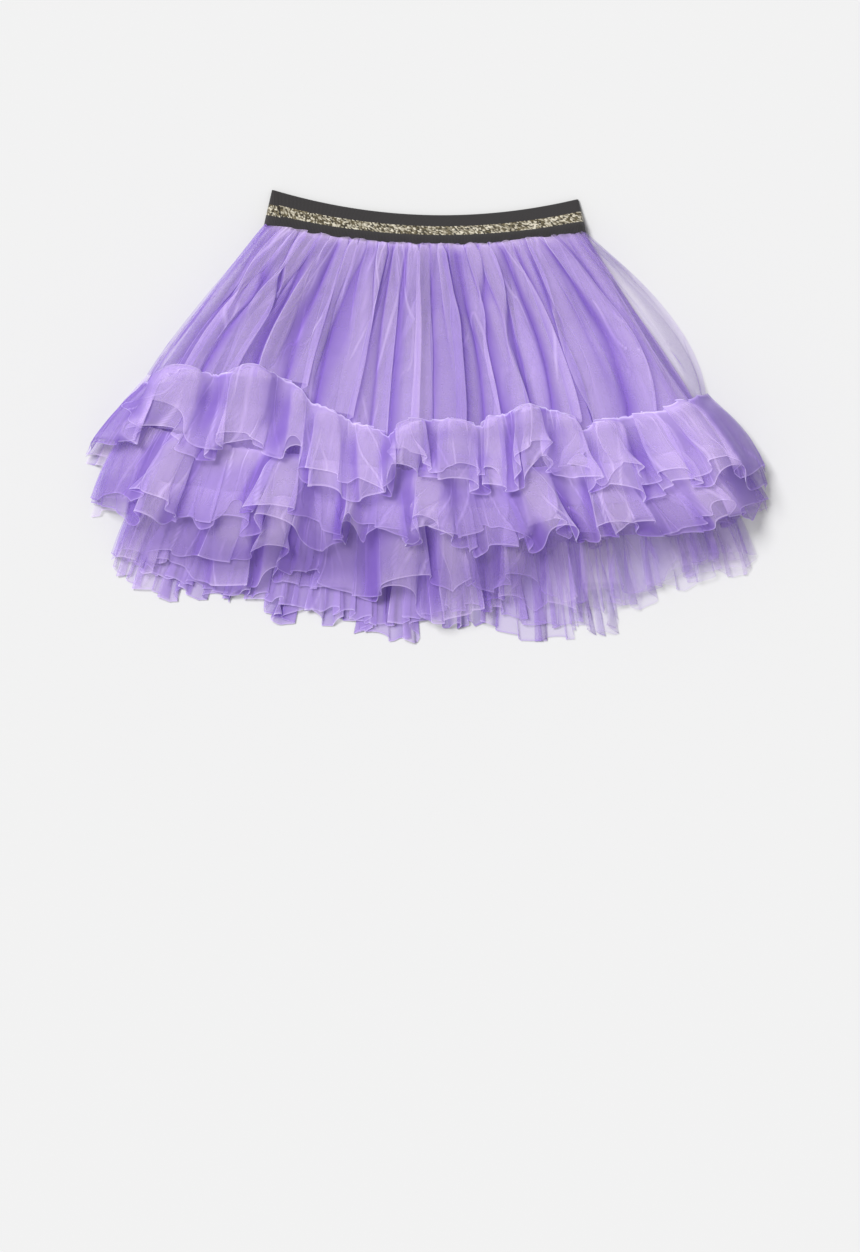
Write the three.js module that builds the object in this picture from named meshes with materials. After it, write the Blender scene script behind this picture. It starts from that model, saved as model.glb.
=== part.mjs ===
// A child's tulle skirt, laid flat on its back: a striped elastic waistband, and three tulle skirts sewn
// into it one inside the other, each a little longer than the one outside it and each ending in a ruffle.
// The pieces are laid one by one from the surface up, as they are when the skirt is put down.
// Millimetres. X runs across the skirt, Y up to the waistband, and Z up from the surface.

import * as THREE from "three";

// Cloth and elastic
const TULLE = 1.0; // wall of a gathered tulle layer
const ELASTIC = 1.5; // wall of the woven elastic
const CLEARANCE = 0.3; // between pieces that touch
const LAVENDER = 0xb79ce6;
const CHARCOAL = 0x3f3c40;

// The waistband's edges sag to one low point: y = low + bow * (x - SAG_X)^2.
// held: how far the tulle sewn into it holds its front and back apart.
const SAG_X = 12;
const BAND_TOP = { low: 155.2, bow: 1.13e-3, halfWidth: 119.5 };
const BAND_BOTTOM = { low: 130.7, bow: 8.3e-4, halfWidth: 125.5 };
const BAND_CENTRE_X = -1.5;
const BAND_TOP_THICKNESS = 2 * ELASTIC + 2 * CLEARANCE;
const BAND_STATIONS = { straight: 26, turn: 5 }; // steps along each straight side and round each end
const BAND_ROWS = [{ up: 0, held: 1 }, { up: 0.25, held: 1 }, { up: 0.6, held: 0.35 }, { up: 1, held: 0 }];

// The tulle is sewn in behind the band's lower edge, this share of the way up the elastic
const TUCK = 0.16;
const TUCK_LEFT_X = -115;
const TUCK_RIGHT_X = 111;

// Seams and hems as they lie, from the left side to the right, as [x, y]
const UPPER_SEAM = [[-218, 31], [-146, 12], [-52, -12], [2, -16], [104, -13], [166, -5], [217, 15]];
const UPPER_HEM = [[-266, -31], [-178, -46], [-64, -58], [20, -54], [100, -57], [217, -57], [263, -41]];
const MIDDLE_SEAM = [[-231, -8], [-150, -27], [-50, -42], [2, -45], [104, -43], [170, -36], [228, -23]];
const MIDDLE_HEM = [[-262, -65], [-162, -79], [-45, -98], [20, -97], [80, -101], [166, -92], [235, -80],
  [266, -66]];
const LOWER_SEAM = [[-216, -51], [-150, -62], [-50, -72], [2, -74], [104, -73], [170, -68], [228, -58]];
const LOWER_HEM = [[-246, -108], [-177, -119], [-122, -125], [-52, -142], [2, -146], [104, -142], [150, -135],
  [213, -123], [257, -109]];
const LOWER_HEM_BACK = [[-242, -118], [-194, -137], [-111, -155], [-37, -170], [2, -168], [88, -170],
  [127, -164], [166, -150], [205, -132], [252, -118]];

// Ruffle flutes from left to right. wide: share of the hem. high: how far the flute stands up.
// puff: how far its shoulder swells over the seam. drop: how far its hem hangs past the hem line.
const UPPER_FLUTES = [
  { wide: 45, high: 9, puff: 3, drop: 0 },
  { wide: 52, high: 13, puff: 11, drop: -8 },
  { wide: 40, high: 15, puff: 14, drop: 3 },
  { wide: 31, high: 12, puff: 9, drop: 2 },
  { wide: 24, high: 8, puff: 2, drop: 4 },
  { wide: 20, high: 7, puff: 1, drop: 1 },
  { wide: 31, high: 9, puff: 2, drop: 5 },
  { wide: 34, high: 14, puff: 10, drop: -6 },
  { wide: 36, high: 12, puff: 8, drop: 1 },
  { wide: 19, high: 10, puff: 9, drop: 2 },
  { wide: 37, high: 16, puff: 15, drop: -3 },
  { wide: 38, high: 13, puff: 10, drop: 3 },
  { wide: 33, high: 10, puff: 5, drop: 0 },
  { wide: 25, high: 9, puff: 5, drop: 2 },
  { wide: 29, high: 11, puff: 7, drop: -2 },
  { wide: 30, high: 12, puff: 7, drop: 0 },
  { wide: 26, high: 8, puff: 2, drop: -1 },
];
const MIDDLE_FLUTES = [
  { wide: 36, high: 8, puff: 0, drop: 0 },
  { wide: 34, high: 11, puff: 2, drop: -2 },
  { wide: 29, high: 10, puff: 2, drop: 2 },
  { wide: 27, high: 9, puff: 2, drop: 0 },
  { wide: 36, high: 12, puff: 3, drop: 3 },
  { wide: 27, high: 9, puff: 2, drop: -2 },
  { wide: 33, high: 11, puff: 3, drop: 3 },
  { wide: 24, high: 9, puff: 2, drop: -3 },
  { wide: 30, high: 12, puff: 3, drop: 2 },
  { wide: 27, high: 10, puff: 2, drop: -4 },
  { wide: 31, high: 11, puff: 2, drop: 2 },
  { wide: 35, high: 12, puff: 3, drop: 4 },
  { wide: 24, high: 9, puff: 2, drop: -2 },
  { wide: 38, high: 11, puff: 3, drop: 0 },
  { wide: 31, high: 10, puff: 2, drop: 2 },
  { wide: 35, high: 10, puff: 2, drop: 0 },
  { wide: 28, high: 8, puff: 0, drop: -1 },
];
const LOWER_FLUTES = [
  { wide: 31, high: 8, puff: 0, drop: 0 },
  { wide: 33, high: 10, puff: 1, drop: 1 },
  { wide: 40, high: 11, puff: 2, drop: -3 },
  { wide: 38, high: 12, puff: 2, drop: 2 },
  { wide: 24, high: 8, puff: 1, drop: 0 },
  { wide: 32, high: 10, puff: 2, drop: 3 },
  { wide: 44, high: 13, puff: 3, drop: -4 },
  { wide: 46, high: 13, puff: 3, drop: 2 },
  { wide: 24, high: 8, puff: 1, drop: -2 },
  { wide: 31, high: 10, puff: 2, drop: 3 },
  { wide: 35, high: 11, puff: 2, drop: 0 },
  { wide: 30, high: 10, puff: 1, drop: 3 },
  { wide: 29, high: 9, puff: 1, drop: -2 },
  { wide: 36, high: 10, puff: 2, drop: 1 },
  { wide: 35, high: 8, puff: 0, drop: 0 },
];

// The outer skirt's gathers, from left to right: share of the width, and how far each stands up
const OUTER_GATHERS = [
  { wide: 26, high: 2.2 }, { wide: 22, high: 3.0 }, { wide: 24, high: 3.6 }, { wide: 19, high: 3.0 },
  { wide: 23, high: 3.8 }, { wide: 20, high: 3.2 }, { wide: 15, high: 2.6 }, { wide: 25, high: 4.0 },
  { wide: 17, high: 3.0 }, { wide: 14, high: 2.6 }, { wide: 23, high: 3.6 }, { wide: 18, high: 3.2 },
  { wide: 20, high: 3.8 }, { wide: 15, high: 2.8 }, { wide: 21, high: 3.6 }, { wide: 22, high: 4.0 },
  { wide: 15, high: 2.8 }, { wide: 25, high: 3.8 }, { wide: 17, high: 3.0 }, { wide: 22, high: 3.6 },
  { wide: 24, high: 3.4 }, { wide: 25, high: 3.0 }, { wide: 22, high: 2.2 },
];
const BACK_GATHERS = [...OUTER_GATHERS].reverse().map(({ wide, high }) => ({ wide, high: high / 2 }));
const HIDDEN_GATHERS = [20, 25, 30, 20, 25, 30, 20].map((wide) => ({ wide, high: 1.2 }));

// How open the folds are along a piece, from its seam (0) to its hem (1)
const RUFFLE_OPENING = { atSeam: 0.3, openBy: 0.3 };
const SKIRT_OPENING = { atSeam: 0.05, openBy: 0.7 };
const SKIRT_COLUMNS = 4; // points across each fold
const FRONT_RUFFLE_COLUMNS = 6;
const BACK_RUFFLE_COLUMNS = 5;
const RUFFLE_ROWS = [0, 0.28, 0.62, 1]; // the same, as the places of the points along a piece
const SKIRT_ROWS = [0, 0.08, 0.24, 0.5, 0.8, 1];
const SHOULDER = 0.22; // where along a ruffle its shoulder is highest
const FLANK = 0.35; // how upright a flute's sides are: 0 is a plain wave, 1 is upright
const PRESSED = 0.3; // share of a back fold that the skirt's weight presses flat on the surface
const RIGHT_BULGE = 1.9; // how far the outer skirt's right side bows out
const BULGE_ONSET = 3; // how closely that bow keeps to the right side

// The pile of pieces laid so far, as a height map
const CELL = 5;
const MAP = { minX: -300, minY: -200, columns: 120, rows: 80 };
const BRIDGE_REACH = 2; // cells over which a piece bridges what lies under it
const SIDE_START = 0.92; // from here out to its side edges a piece comes down on what lies under it
const SAMPLE_STEP = 2; // distance between the points at which a face is tested on the pile

const mix = THREE.MathUtils.lerp;

function bandEdgeY(x, up) {
  const low = mix(BAND_BOTTOM.low, BAND_TOP.low, up);
  const bow = mix(BAND_BOTTOM.bow, BAND_TOP.bow, up);
  return low + bow * (x - SAG_X) ** 2;
}

// A smooth line through points, or the tucked-in edge under the waistband, as a function of 0..1
function lineThrough(points) {
  const curve = new THREE.SplineCurve(points.map(([x, y]) => new THREE.Vector2(x, y)));
  return (share) => curve.getPointAt(THREE.MathUtils.clamp(share, 0, 1));
}

function tuckedEdge(inset) {
  return (share) => {
    const x = mix(TUCK_LEFT_X + inset, TUCK_RIGHT_X - inset, share);
    return new THREE.Vector2(x, bandEdgeY(x, TUCK));
  };
}

const heights = new Float32Array(MAP.columns * MAP.rows);

function cellAt(x, y) {
  const column = THREE.MathUtils.clamp(Math.round((x - MAP.minX) / CELL), 0, MAP.columns - 1);
  const row = THREE.MathUtils.clamp(Math.round((y - MAP.minY) / CELL), 0, MAP.rows - 1);
  return row * MAP.columns + column;
}

// One pass of a square window over the map, along x or y, keeping the highest or the mean value
function windowed(map, stride, keepHighest) {
  const result = new Float32Array(map.length);
  for (let row = 0; row < MAP.rows; row++) {
    for (let column = 0; column < MAP.columns; column++) {
      const place = stride === 1 ? column : row;
      const last = (stride === 1 ? MAP.columns : MAP.rows) - 1;
      const here = row * MAP.columns + column;
      let highest = -Infinity;
      let sum = 0;
      for (let step = -BRIDGE_REACH; step <= BRIDGE_REACH; step++) {
        const value = map[here + (THREE.MathUtils.clamp(place + step, 0, last) - place) * stride];
        highest = Math.max(highest, value);
        sum += value;
      }
      result[here] = keepHighest ? highest : sum / (2 * BRIDGE_REACH + 1);
    }
  }
  return result;
}

// Reads a map at any place between its cells
function readerOf(map) {
  return (x, y) => {
    const across = THREE.MathUtils.clamp((x - MAP.minX) / CELL, 0, MAP.columns - 2);
    const along = THREE.MathUtils.clamp((y - MAP.minY) / CELL, 0, MAP.rows - 2);
    const corner = Math.floor(along) * MAP.columns + Math.floor(across);
    const near = mix(map[corner], map[corner + 1], across % 1);
    const far = mix(map[corner + MAP.columns], map[corner + MAP.columns + 1], across % 1);
    return mix(near, far, along % 1);
  };
}

// The height at which the next piece lies: it bridges the pile's hollows, and comes down on it at its sides
function bedOfPile() {
  let map = heights;
  for (const keepHighest of [true, false]) {
    map = windowed(map, 1, keepHighest);
    map = windowed(map, MAP.columns, keepHighest);
  }
  const bridged = readerOf(map);
  const bare = readerOf(heights.slice());
  return (x, y, share) => {
    const sideward = THREE.MathUtils.smoothstep(Math.abs(2 * share - 1), SIDE_START, 1);
    const height = mix(bridged(x, y), bare(x, y), sideward);
    return height + CLEARANCE * Math.min(height, 1);
  };
}

// Calls visit with points spread over one face of a grid of points, closer together than the map's cells,
// and with each point's weights on the face's four corners
function overFace(grid, row, column, visit) {
  const point = new THREE.Vector3();
  const [a, b] = [grid[row][column], grid[row][column + 1]];
  const [c, d] = [grid[row + 1][column], grid[row + 1][column + 1]];
  const across = Math.ceil(Math.max(a.distanceTo(b), c.distanceTo(d)) / SAMPLE_STEP);
  const along = Math.ceil(Math.max(a.distanceTo(c), b.distanceTo(d)) / SAMPLE_STEP);
  for (let i = 0; i <= across; i++) {
    for (let j = 0; j <= along; j++) {
      const [u, v] = [i / across, j / along];
      const weights = [(1 - u) * (1 - v), u * (1 - v), (1 - u) * v, u * v];
      point.set(0, 0, 0);
      [a, b, c, d].forEach((corner, index) => point.addScaledVector(corner, weights[index]));
      visit(point, weights);
    }
  }
}

function eachFace(grid, visit) {
  for (let row = 0; row < grid.length - 1; row++) {
    for (let column = 0; column < grid[row].length - 1; column++) visit(row, column);
  }
}

// Raises a piece wherever it would touch the pile, then makes it part of the pile. Each face that is too low
// lifts its four corners by as much as their weights at that point call for.
function settle(under, over) {
  const raise = under.map((line) => line.map(() => 0));
  eachFace(under, (row, column) => {
    const corners = [[row, column], [row, column + 1], [row + 1, column], [row + 1, column + 1]];
    overFace(under, row, column, (p, weights) => {
      const support = heights[cellAt(p.x, p.y)];
      const short = support + (support > 0 ? CLEARANCE : 0) - p.z;
      if (short <= 0) return;
      const squares = weights.reduce((sum, weight) => sum + weight * weight, 0);
      corners.forEach(([i, j], index) => {
        raise[i][j] = Math.max(raise[i][j], (short * weights[index]) / squares);
      });
    });
  });
  raise.forEach((line, row) => line.forEach((up, column) => {
    under[row][column].z += up;
    over[row][column].z += up;
  }));
  eachFace(over, (row, column) => overFace(over, row, column, (p) => {
    const cell = cellAt(p.x, p.y);
    heights[cell] = Math.max(heights[cell], p.z);
  }));
}

// A body from its points and its four-sided faces
function bodyOf(points, quads) {
  const geometry = new THREE.BufferGeometry();
  geometry.setAttribute("position", new THREE.Float32BufferAttribute(points.flatMap((p) => p.toArray()), 3));
  geometry.setIndex(quads.flatMap(([a, b, c, d]) => [a, b, c, a, c, d]));
  return geometry;
}

// A closed wall between two grids of points that match one to one
function wallBetween(under, over) {
  const rows = over.length;
  const columns = over[0].length;
  const top = (row, column) => row * columns + column;
  const bottom = (row, column) => rows * columns + top(row, column);
  const quads = [];
  for (let row = 0; row < rows - 1; row++) {
    const below = row + 1;
    for (let column = 0; column < columns - 1; column++) {
      const next = column + 1;
      quads.push([top(row, column), top(below, column), top(below, next), top(row, next)]);
      quads.push([bottom(row, column), bottom(row, next), bottom(below, next), bottom(below, column)]);
    }
    const last = columns - 1;
    quads.push([top(row, 0), bottom(row, 0), bottom(below, 0), top(below, 0)]);
    quads.push([top(row, last), top(below, last), bottom(below, last), bottom(row, last)]);
  }
  for (let column = 0; column < columns - 1; column++) {
    const next = column + 1;
    const last = rows - 1;
    quads.push([top(0, column), top(0, next), bottom(0, next), bottom(0, column)]);
    quads.push([top(last, column), bottom(last, column), bottom(last, next), top(last, next)]);
  }
  return bodyOf([...over.flat(), ...under.flat()], quads);
}

// Where the folds of a table lie: a list of columns, each with its share of the width, its fold and its phase
function foldColumns(folds, columnsPerFold) {
  const total = folds.reduce((sum, fold) => sum + fold.wide, 0);
  const columns = [];
  let start = 0;
  folds.forEach((fold, index) => {
    const steps = columnsPerFold + (index === folds.length - 1 ? 1 : 0);
    for (let step = 0; step < steps; step++) {
      const phase = step / columnsPerFold;
      columns.push({ fold, phase, share: (start + fold.wide * phase) / total, wide: fold.wide });
    }
    start += fold.wide;
  });
  return columns;
}

function openingAt(opening, down) {
  const early = Math.min(down / opening.openBy, 1);
  return mix(opening.atSeam, 1, Math.sin((early * Math.PI) / 2));
}

// Lays one gathered piece of tulle on the pile and gives its wall.
// from and to are its upper and lower lines, bulge how far its right side bows out. pressed is for folds that
// the skirt's weight presses on the surface, and flatUnder for cloth that lies flat on it.
function layTulle({
  from, to, folds, columnsPerFold, rows, opening, bulge = 1, pressed = 0, flatUnder = false,
}) {
  const bedAt = bedOfPile();
  const columns = foldColumns(folds, columnsPerFold);
  const middle = rows.map((down) => columns.map(({ fold, phase, share, wide }) => {
    const open = openingAt(opening, down);
    const turn = 2 * Math.PI * phase;
    const crest = Math.max(0, (1 - Math.cos(turn)) / 2 - pressed) / (1 - pressed);
    const start = from(share);
    const end = to(share);
    const bow = 1 - (1 - down) ** mix(1, bulge, share ** BULGE_ONSET);
    const flank = ((FLANK * wide) / (4 * Math.PI)) * Math.sin(2 * turn);
    const x = mix(start.x, end.x, bow) + flank * open * down;
    const shoulder = Math.exp(-(((down - SHOULDER) / SHOULDER) ** 2)) * (fold.puff ?? 0);
    const y = mix(start.y, end.y, down) + crest * (shoulder - (fold.drop ?? 0) * down ** 2);
    return new THREE.Vector3(x, y, bedAt(x, y, share) + TULLE / 2 + fold.high * crest * open);
  }));
  const under = middle.map((line) => line.map((p) => p.clone()));
  const over = middle.map((line) => line.map((p) => p.clone()));
  middle.forEach((line, row) => line.forEach((point, column) => {
    const acrossStep = new THREE.Vector3().subVectors(
      line[Math.min(column + 1, line.length - 1)], line[Math.max(column - 1, 0)]);
    const alongStep = new THREE.Vector3().subVectors(
      middle[Math.max(row - 1, 0)][column], middle[Math.min(row + 1, rows.length - 1)][column]);
    const outward = acrossStep.cross(alongStep).normalize().multiplyScalar(TULLE / 2);
    over[row][column].add(outward);
    if (flatUnder) under[row][column].z = bedAt(point.x, point.y, columns[column].share);
    else under[row][column].sub(outward);
    under[row][column].z = Math.max(under[row][column].z, 0);
  }));
  settle(under, over);
  return wallBetween(under, over);
}

// The back of the waistband is the first thing on the surface
function layBandBack() {
  const stepUp = CELL / 2 / (BAND_TOP.low - BAND_BOTTOM.low);
  for (let side = -BAND_BOTTOM.halfWidth; side <= BAND_BOTTOM.halfWidth; side += CELL / 2) {
    const x = BAND_CENTRE_X + side;
    for (let up = 0; up <= 1; up += stepUp) heights[cellAt(x, bandEdgeY(x, up))] = ELASTIC;
  }
}

// How high the pile of tulle reaches inside the waistband
function tuckedHeight() {
  let highest = 0;
  for (let x = TUCK_LEFT_X; x <= TUCK_RIGHT_X; x += CELL / 2) {
    for (const up of [0, TUCK / 2, TUCK]) highest = Math.max(highest, heights[cellAt(x, bandEdgeY(x, up))]);
  }
  return highest;
}

// The elastic as a flattened loop, its lower edge held open by the tulle sewn into it
function waistband() {
  const bottomThickness = tuckedHeight() + CLEARANCE + ELASTIC;
  const { straight, turn } = BAND_STATIONS;
  const loop = ({ up, held }, inset) => {
    const half = mix(BAND_TOP_THICKNESS, bottomThickness, held) / 2;
    const straightHalf = mix(BAND_BOTTOM.halfWidth, BAND_TOP.halfWidth, up) - half;
    const section = [];
    for (const side of [1, -1]) {
      for (let step = 0; step < straight; step++) {
        section.push([side * mix(-1, 1, step / straight) * straightHalf, side * (half - inset)]);
      }
      for (let step = 0; step < turn; step++) {
        const angle = (Math.PI * step) / turn;
        const radius = half - inset;
        section.push([side * (straightHalf + radius * Math.sin(angle)), side * radius * Math.cos(angle)]);
      }
    }
    return section.map(([across, above]) => {
      const x = BAND_CENTRE_X + across;
      return new THREE.Vector3(x, bandEdgeY(x, up), half + above);
    });
  };
  const points = [0, ELASTIC].flatMap((inset) => BAND_ROWS.flatMap((row) => loop(row, inset)));
  const count = 2 * (straight + turn);
  const last = BAND_ROWS.length - 1;
  const outer = (row, station) => row * count + (station % count);
  const inner = (row, station) => (BAND_ROWS.length + row) * count + (station % count);
  const quads = [];
  for (let station = 0; station < count; station++) {
    const next = station + 1;
    for (let row = 0; row < last; row++) {
      quads.push([outer(row, station), outer(row, next), outer(row + 1, next), outer(row + 1, station)]);
      quads.push([inner(row, station), inner(row + 1, station), inner(row + 1, next), inner(row, next)]);
    }
    quads.push([outer(0, station), inner(0, station), inner(0, next), outer(0, next)]);
    quads.push([outer(last, station), outer(last, next), inner(last, next), inner(last, station)]);
  }
  return bodyOf(points, quads);
}

const reversed = (folds) => [...folds].reverse();
const skirtPiece = (to, inset, folds, more = {}) => ({
  from: tuckedEdge(inset),
  to: lineThrough(to),
  folds,
  columnsPerFold: SKIRT_COLUMNS,
  rows: SKIRT_ROWS,
  opening: SKIRT_OPENING,
  ...more,
});
const ruffle = (from, to, folds, more = {}) => ({
  from: lineThrough(from),
  to: lineThrough(to),
  folds,
  columnsPerFold: FRONT_RUFFLE_COLUMNS,
  rows: RUFFLE_ROWS,
  opening: RUFFLE_OPENING,
  ...more,
});
const onSurface = { columnsPerFold: BACK_RUFFLE_COLUMNS, pressed: PRESSED };
const bowed = { bulge: RIGHT_BULGE };

// From the surface up: the skirt's back, then its front
const laidPieces = [
  ["ruffle_upper_back", ruffle(UPPER_SEAM, UPPER_HEM, reversed(UPPER_FLUTES), onSurface)],
  ["outer_back", skirtPiece(UPPER_SEAM, 0, BACK_GATHERS, { ...bowed, pressed: PRESSED, flatUnder: true })],
  ["ruffle_middle_back", ruffle(MIDDLE_SEAM, MIDDLE_HEM, reversed(MIDDLE_FLUTES), onSurface)],
  ["middle_back", skirtPiece(MIDDLE_SEAM, 1, HIDDEN_GATHERS)],
  ["ruffle_lower_back", ruffle(LOWER_SEAM, LOWER_HEM_BACK, reversed(LOWER_FLUTES), onSurface)],
  ["inner_back", skirtPiece(LOWER_SEAM, 2, HIDDEN_GATHERS)],
  ["inner_front", skirtPiece(LOWER_SEAM, 2, HIDDEN_GATHERS)],
  ["ruffle_lower_front", ruffle(LOWER_SEAM, LOWER_HEM, LOWER_FLUTES)],
  ["middle_front", skirtPiece(MIDDLE_SEAM, 1, HIDDEN_GATHERS)],
  ["ruffle_middle_front", ruffle(MIDDLE_SEAM, MIDDLE_HEM, MIDDLE_FLUTES)],
  ["outer_front", skirtPiece(UPPER_SEAM, 0, OUTER_GATHERS, bowed)],
  ["ruffle_upper_front", ruffle(UPPER_SEAM, UPPER_HEM, UPPER_FLUTES)],
];

const skirt = new THREE.Group();
const tulle = new THREE.MeshStandardMaterial({ color: LAVENDER, roughness: 0.9, metalness: 0 });
const elastic = new THREE.MeshStandardMaterial({ color: CHARCOAL, roughness: 0.8, metalness: 0 });

function addPiece(name, geometry, material) {
  const mesh = new THREE.Mesh(geometry, material);
  mesh.name = name;
  skirt.add(mesh);
}

layBandBack();
for (const [name, piece] of laidPieces) addPiece(name, layTulle(piece), tulle.clone());
addPiece("waistband", waistband(), elastic);

// The origin is under the middle of the skirt, on the surface
const size = new THREE.Box3().setFromObject(skirt);
const centre = size.getCenter(new THREE.Vector3());
skirt.position.set(-centre.x, -centre.y, -size.min.z);

export default skirt;
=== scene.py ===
# A child's tulle skirt, laid flat on its back: three gathered skirts one inside the other, each ending in a
# double ruffle, sewn together into a striped elastic waistband. The pieces are laid one by one from the
# surface up. Lengths are in millimetres until a mesh is written.

import math
from collections import namedtuple

import bmesh
import bpy
import numpy as np
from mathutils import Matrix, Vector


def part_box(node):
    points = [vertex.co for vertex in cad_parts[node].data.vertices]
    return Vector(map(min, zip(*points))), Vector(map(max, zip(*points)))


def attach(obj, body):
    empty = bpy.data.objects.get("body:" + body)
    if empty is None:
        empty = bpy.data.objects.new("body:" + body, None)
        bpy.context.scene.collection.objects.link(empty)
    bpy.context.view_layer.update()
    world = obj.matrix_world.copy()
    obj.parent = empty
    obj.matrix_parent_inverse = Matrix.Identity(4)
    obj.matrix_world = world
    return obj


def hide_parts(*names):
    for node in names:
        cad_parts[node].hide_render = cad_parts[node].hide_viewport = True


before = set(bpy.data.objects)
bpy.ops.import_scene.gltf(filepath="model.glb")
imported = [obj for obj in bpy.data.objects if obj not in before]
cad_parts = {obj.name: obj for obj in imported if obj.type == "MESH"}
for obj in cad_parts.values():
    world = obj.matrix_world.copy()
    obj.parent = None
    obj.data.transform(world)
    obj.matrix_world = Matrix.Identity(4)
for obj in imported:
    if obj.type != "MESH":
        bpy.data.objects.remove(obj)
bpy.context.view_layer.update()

# The camera looks straight down, as the photograph was taken, from far enough away to show the skirt
# without perspective. The middle of its frame lies below the hems.
PHOTO_HIGH = 1252  # pixels
MM_PER_PIXEL = 0.78  # from the waistband's 25 mm elastic
FRAME_CENTRE = (2.3, -165.8)
CAMERA_HEIGHT = 3000
SENSOR = 36

camera = bpy.data.objects.new("camera", bpy.data.cameras.new("camera"))
camera.data.sensor_width = SENSOR
camera.data.lens = SENSOR * CAMERA_HEIGHT / (PHOTO_HIGH * MM_PER_PIXEL)
camera.location = (FRAME_CENTRE[0] / 1000, FRAME_CENTRE[1] / 1000, CAMERA_HEIGHT / 1000)
bpy.context.scene.collection.objects.link(camera)
bpy.context.scene.camera = camera

# Tulle: nylon net of fine hexagonal holes, cut from the roll and dyed lavender. One layer is sheer and
# nearly colourless. Gathered or folded it closes up, and several layers together turn deep purple.
TULLE_LILAC = "E6D2F9"
TULLE_PAINTED_HIGHLIGHT = "F0E8FE"  # painted highlight, where the threads crowd together and catch the light
TULLE_PAINTED_SHADE = "8560C6"  # painted shade, in the slits and under the ruffles, where the light comes through layer on layer
OPEN_COVER = 0.24  # share of the surface that the threads of one flat layer cover
NET_CELL = 1.8  # the real net's holes are 1 mm across; drawn coarser, so that the weave shows
THREAD_REACH = 0.35  # how far a thread reaches into a hole, as a share of the hole
COVER_ON_THREAD, COVER_IN_HOLE = 1.02, 0.99
PATCHES = 60.0  # patches of slightly denser net to the metre
PATCH_COVERS = (0.93, 1.07)
PAINTED_SHADE_CLOSES = 1.2  # how much more opaque the net is made where the painted shade lies deep in the folds
HIGHLIGHT_FROM, HIGHLIGHT_BY = 2.2, 5.5  # the covers between which crowded threads are lightened into the painted highlight
HIGHLIGHT_SHADED = 0.35  # share of the painted shade that the threads in the full painted highlight still take
THREAD_GLOW = 0.35  # share of the light that goes through a thread


def linear(hex_colour):
    channels = [int(hex_colour[i : i + 2], 16) / 255 for i in (0, 2, 4)]
    return tuple(c / 12.92 if c <= 0.04045 else ((c + 0.055) / 1.055) ** 2.4 for c in channels) + (1,)


def add_node(tree, kind, inputs=None, **settings):
    """Adds a node. inputs gives each socket by name or number a value, or another node's output. A Mix
    node's values are sockets 2 and 3 and its colours 6 and 7, and a Map Range node's limits are 1 to 4."""
    node = tree.nodes.new(kind)
    for name, value in settings.items():
        setattr(node, name, value)
    for socket, value in (inputs or {}).items():
        if isinstance(value, bpy.types.NodeSocket):
            tree.links.new(value, node.inputs[socket])
        else:
            node.inputs[socket].default_value = value
    return node


def new_material(name):
    material = bpy.data.materials.new(name)
    material.use_nodes = True
    material.node_tree.nodes.clear()
    return material, material.node_tree


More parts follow.
